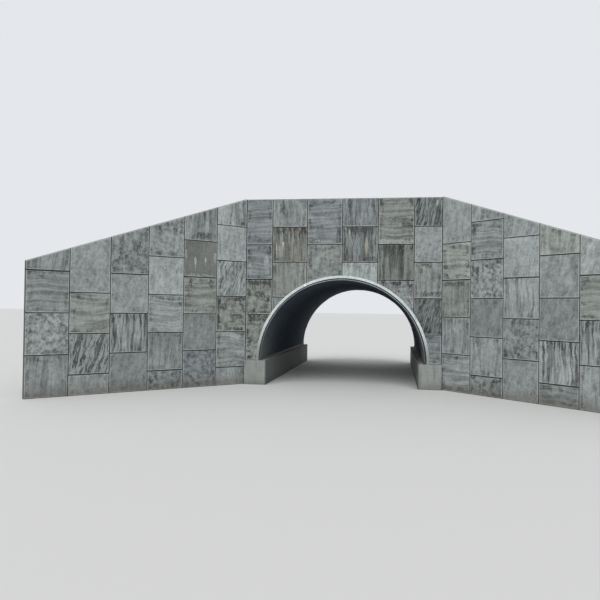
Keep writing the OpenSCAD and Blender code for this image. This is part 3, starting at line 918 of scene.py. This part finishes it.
BOLT_GREYS = ((0.40, 0.43, 0.44), (0.56, 0.59, 0.60))
bolt_zinc = zinc_coat("bolt_zinc", *BOLT_GREYS, bloom=0.3, rust=0.5, shaded_and_grimy=True)
row_turn = math.degrees(ROW_SPACING / 2 / MIDDLE_RADIUS)
for ring in range(RINGS):
    start = BARREL_FRONT + ring * PLATE_LENGTH
    first_seam = SEAM_STEP if ring % 2 == 0 else SEAM_STEP / 2
    seams = [first_seam + k * SEAM_STEP for k in range(PLATES_IN_RING)]
    seams = [seam for seam in seams if seam < HALF_TURN]
    rows = []
    for crest, y, side in ((1.0, start + WAVE / 4, 1.0), (-1.0, start + 3 * WAVE / 4, -1.0)):
        pattern = [in_a_row(end, WAVES_IN_PLATE, WAVE) for end in crown_bolts(crest, y)]
        rows += [moved(end, round_axis(seam + side * row_turn)) for seam in seams for end in pattern]
        for end in pattern:
            bpy.data.objects.remove(end)
    joined(f"seam_bolts_{ring + 1}", rows, bolt_zinc)


# End ring and base channels: rolled and cold-formed steel sections, galvanised later than
# the plates and still bright. The ring is bolted to the panels round the mouth, with a painted
# highlight along one joint, and the channels lie on the footings and hold the plates.
HIGHLIGHT_JOINT = math.radians(116.0)
RING_GREYS = ((0.50, 0.56, 0.56), (0.62, 0.68, 0.67))
CHANNEL_GREYS = ((0.28, 0.31, 0.32), (0.42, 0.45, 0.46))
ring_zinc = zinc_coat("ring_zinc", *RING_GREYS, bloom=0.1, rust=0.1, metallic=0.25,
                      joint=HIGHLIGHT_JOINT)
channel_zinc = zinc_coat("channel_zinc", *CHANNEL_GREYS, bloom=0.4, rust=0.7)
for part in ("left", "crown", "right"):
    dress(f"end_ring_{part}", ring_zinc)
for side in ("left", "right"):
    dress(f"{side}_base_channel", channel_zinc)


# Ring bolts: galvanised bolts with round washers, which hold the end ring to the panels
# every half metre or so and close to both sides of each of its joints.
RING_FACE_RADIUS = 3.606
RING_FRONT = -0.012
RING_BOLT_ACROSS = 0.028
RING_HEAD_HEIGHT = 0.011
WASHER_RADIUS = 0.021
WASHER_THICKNESS = 0.003
WASHER_SIDES = 16

# Angles up from the right foot to the crown. The left half mirrors them.
RING_BOLT_ANGLES = (3.0, 12.5, 22.0, 32.0, 42.0, 52.0, 62.4, 65.6, 74.0, 82.0, 90.0)

bpy.ops.object.select_all(action="DESELECT")
bpy.ops.mesh.primitive_cylinder_add(
    vertices=WASHER_SIDES, radius=WASHER_RADIUS, depth=WASHER_THICKNESS)
washer = bpy.context.object
washer.data.transform(Matrix.Rotation(math.radians(90.0), 4, "X"))
washer.data.transform(Matrix.Translation((0.0, -WASHER_THICKNESS / 2, 0.0)))
head = hexagon(RING_BOLT_ACROSS, RING_HEAD_HEIGHT, 0.0, (0.0, -1.0, 0.0))
head.data.transform(Matrix.Translation((0.0, -WASHER_THICKNESS, 0.0)))
on_crown = Matrix.Translation((0.0, RING_FRONT, FOOTING_TOP + RING_FACE_RADIUS))
both_halves = sorted({*RING_BOLT_ANGLES, *(HALF_TURN - angle for angle in RING_BOLT_ANGLES)})
ring_bolts = [moved(part, round_axis(angle) @ on_crown)
              for angle in both_halves for part in (washer, head)]
bpy.data.objects.remove(washer)
bpy.data.objects.remove(head)
joined("ring_bolts", ring_bolts, ring_zinc)


# Channel bolts: galvanised bolts that hold the plates to the legs of the base channels where
# the corrugations touch them, in every second one. Heads are on the outside of the legs.
CHANNEL_OUTER = 3.5095
CHANNEL_INNER = 3.4265
CHANNEL_BOLT_HEIGHT = 0.043

channel_bolts = []
for side in (1.0, -1.0):
    for leg, out, first in ((CHANNEL_INNER, -1.0, 3 * WAVE / 4), (CHANNEL_OUTER, 1.0, WAVE / 4)):
        head = hexagon(BOLT_ACROSS, HEAD_HEIGHT, 0.0, (side * out, 0.0, 0.0))
        place = (side * leg, BARREL_FRONT + first, FOOTING_TOP + CHANNEL_BOLT_HEIGHT)
        head.data.transform(Matrix.Translation(place))
        channel_bolts.append(in_a_row(head, 2 * WAVES_IN_PLATE, 2 * WAVE))
joined("channel_bolts", channel_bolts, bolt_zinc)


# Tie-strip lugs: pairs of galvanised straps cast into the backs of the panels, with the
# bolt that held the tie strips. A full panel has four.
PANEL_THICKNESS = 0.15
MOUTH_RADIUS = 3.5645
LUG_WIDTH = 0.050
LUG_LENGTH = 0.075
LUG_THICKNESS = 0.004
LUG_GAP = 0.010
LUG_CORNER = 0.014
LUG_HOLE = 0.048
LUG_BOLT_ACROSS = 0.021
LUG_HEAD_HEIGHT = 0.009
LUG_NUT_HEIGHT = 0.011
LUG_STUD = 0.006
LUG_CLEAR = 0.14

# Lugs stand at a quarter and three quarters of a panel's width and height. A low panel has
# one row, at half its height.
QUARTERS = (0.25, 0.75)
LOW_PANEL = 1.1

bpy.ops.object.select_all(action="DESELECT")
bpy.ops.mesh.primitive_cube_add(size=1.0)
strap = bpy.context.object
strap.data.transform(Matrix.Diagonal((LUG_WIDTH, LUG_LENGTH, LUG_THICKNESS, 1.0)))
strap.data.transform(Matrix.Translation((0.0, LUG_LENGTH / 2, LUG_THICKNESS / 2 + LUG_GAP / 2)))
bpy.ops.object.mode_set(mode="EDIT")
bpy.ops.mesh.select_mode(type="EDGE")
bpy.ops.mesh.select_all(action="DESELECT")
lug_mesh = bmesh.from_edit_mesh(strap.data)
for edge in lug_mesh.edges:
    first, second = [v.co for v in edge.verts]
    at_the_end = min(first.y, second.y) > LUG_LENGTH * 0.9
    edge.select = at_the_end and abs(first.x - second.x) < LUG_CORNER
lug_mesh.select_flush_mode()
bmesh.update_edit_mesh(strap.data)
bpy.ops.mesh.bevel(offset=LUG_CORNER, segments=2)
bpy.ops.object.mode_set(mode="OBJECT")
lower = moved(strap, Matrix.Translation((0.0, 0.0, -LUG_GAP - LUG_THICKNESS)))
lug_top = LUG_GAP / 2 + LUG_THICKNESS
lug_head = hexagon(LUG_BOLT_ACROSS, LUG_HEAD_HEIGHT, 0.0, (0.0, 0.0, 1.0))
lug_head.data.transform(Matrix.Translation((0.0, LUG_HOLE, lug_top)))
lug_nut = hexagon(LUG_BOLT_ACROSS, LUG_NUT_HEIGHT, LUG_STUD, (0.0, 0.0, -1.0))
lug_nut.data.transform(Matrix.Translation((0.0, LUG_HOLE, -lug_top)))
lug_parts = [strap, lower, lug_head, lug_nut]

lugs = []
for column in columns:
    place = column.axes()
    for low, high in zip(column.levels, column.levels[1:]):
        rows = QUARTERS if high - low > LOW_PANEL else (0.5,)
        for along in [share * column.width for share in QUARTERS]:
            rise = min(high, column.top_at(along)) - low
            for z in [low + share * rise for share in rows]:
                here = place @ Matrix.Translation((along, PANEL_THICKNESS, z))
                spot = here.translation
                from_axis = math.hypot(spot.x, spot.z - FOOTING_TOP)
                if from_axis > MOUTH_RADIUS + LUG_CLEAR or abs(spot.x) > FACE_HALF:
                    lugs += [moved(part, here) for part in lug_parts]
for part in lug_parts:
    bpy.data.objects.remove(part)
LUG_GREYS = ((0.36, 0.39, 0.40), (0.52, 0.55, 0.56))
lug_zinc = zinc_coat("lug_zinc", *LUG_GREYS, bloom=0.3, rust=0.4)
joined("tie_strip_lugs", lugs, lug_zinc)


# Mortar plugs: close the lifting pockets in the top edges of the columns and the form-tie
# holes in the footings. Trowelled flush by hand, so they stand a little proud.
POCKET_RADIUS = 0.042
TIE_HOLE_RADIUS = 0.016
PLUG_HEIGHT = 0.004
PLUG_BEVEL = 0.0028
PLUG_SIDES = 18
TIE_SPACING = 0.9
TIE_HEIGHTS = (0.30, 0.75)
FOOTING_INNER = 3.203
FOOTING_FRONT = -0.15
BARREL_END = BARREL_FRONT + RINGS * PLATE_LENGTH
MORTAR_DARK = (0.30, 0.31, 0.30)
MORTAR_PALE = (0.44, 0.45, 0.43)


def mortar():
    p = Paint("mortar")
    spot = p.place()
    patch = p.noise(spot, 25.0, 5.0, 0.65)
    grain = p.noise(spot, 160.0, 3.0, 0.6)
    colour = p.mix(p.span(patch, 0.35, 0.65), MORTAR_DARK, MORTAR_PALE)
    return p.finish(Base_Color=colour, Roughness=p.span(patch, 0.3, 0.7, 0.8, 0.95),
                    Normal=p.bump(grain, 0.4, 0.002, p.bump(patch, 0.3, 0.004)))


def plug(radius):
    """A mortar plug on the origin, bevelled round its top."""
    bpy.ops.object.select_all(action="DESELECT")
    bpy.ops.mesh.primitive_cylinder_add(
        vertices=PLUG_SIDES, radius=radius, depth=PLUG_HEIGHT,
        location=(0.0, 0.0, PLUG_HEIGHT / 2))
    piece = bpy.context.object
    bpy.ops.object.transform_apply(location=True, rotation=False, scale=False)
    bpy.ops.object.mode_set(mode="EDIT")
    pick_faces(piece, is_top)
    bpy.ops.mesh.bevel(offset=PLUG_BEVEL, segments=1)
    bpy.ops.object.mode_set(mode="OBJECT")
    return piece


pocket_plug = plug(POCKET_RADIUS)
pocket_plugs = []
for column in columns:
    tilt = Matrix.Rotation(-math.atan(column.slope), 4, "Y")
    for along in [share * column.width for share in QUARTERS]:
        here = Matrix.Translation((along, PANEL_THICKNESS / 2, column.top_at(along)))
        pocket_plugs.append(moved(pocket_plug, column.axes() @ here @ tilt))
bpy.data.objects.remove(pocket_plug)
mortar_grey = mortar()
joined("lifting_pocket_plugs", pocket_plugs, mortar_grey)

tie_plug = plug(TIE_HOLE_RADIUS)
tie_plugs = []
ties_along = int((BARREL_END - FOOTING_FRONT) / TIE_SPACING)
for side in (1.0, -1.0):
    for wall, out in ((FOOTING_INNER, -side), (FACE_HALF, side)):
        turned = Matrix.Rotation(math.radians(90.0) * out, 4, "Y")
        for k in range(ties_along):
            for z in TIE_HEIGHTS:
                here = (side * wall, FOOTING_FRONT + (k + 0.5) * TIE_SPACING, z)
                if wall < FACE_HALF or here[1] > PANEL_THICKNESS:
                    tie_plugs.append(moved(tie_plug, Matrix.Translation(here) @ turned))
bpy.data.objects.remove(tie_plug)
joined("form_tie_plugs", tie_plugs, mortar_grey)


# Filler and bearing pads: black moulded rubber, chalky where it has weathered. The filler
# is pressed in between the barrel and the cut panels, and the pads lie in the bed joints,
# which they keep open.
RUBBER_BLACK = (0.018, 0.018, 0.019)
RUBBER_CHALKY = (0.045, 0.045, 0.044)


def black_rubber():
    p = Paint("black_rubber")
    spot = p.place()
    patch = p.noise(spot, 6.0, 5.0, 0.6)
    fine = p.noise(spot, 120.0, 3.0, 0.6)
    colour = p.mix(p.span(patch, 0.35, 0.70), RUBBER_BLACK, RUBBER_CHALKY)
    return p.finish(Base_Color=colour, Roughness=p.span(patch, 0.3, 0.7, 0.70, 0.90),
                    Normal=p.bump(fine, 0.3, 0.001))


rubber = black_rubber()
dress("barrel_joint_filler", rubber)
dress("bearing_pads", rubber)


# Filter cloth: black needle-punched felt in strips, glued over the joints at the back of
# the panels, so that the joints drain and stay clean.
FELT_BLACK = (0.022, 0.023, 0.025)
FELT_WORN = (0.060, 0.062, 0.064)
FELT_DUST = (0.13, 0.11, 0.085)
FELT_ROUGHNESS = 0.95


def filter_felt():
    p = Paint("filter_felt")
    spot = p.place()
    fibres = p.noise(p.scaled(spot, (1.0, 1.0, 0.4)), 180.0, 5.0, 0.7, 1.0)
    patch = p.noise(spot, 3.0, 4.0, 0.6)
    colour = p.mix(p.span(fibres, 0.3, 0.7), FELT_BLACK, FELT_WORN)
    colour = p.mix(p.span(patch, 0.50, 0.75, 0.0, 0.5), colour, FELT_DUST)
    return p.finish(Base_Color=colour, Roughness=FELT_ROUGHNESS,
                    Normal=p.bump(fibres, 0.5, 0.002))


dress("joint_filter_cloth", filter_felt())
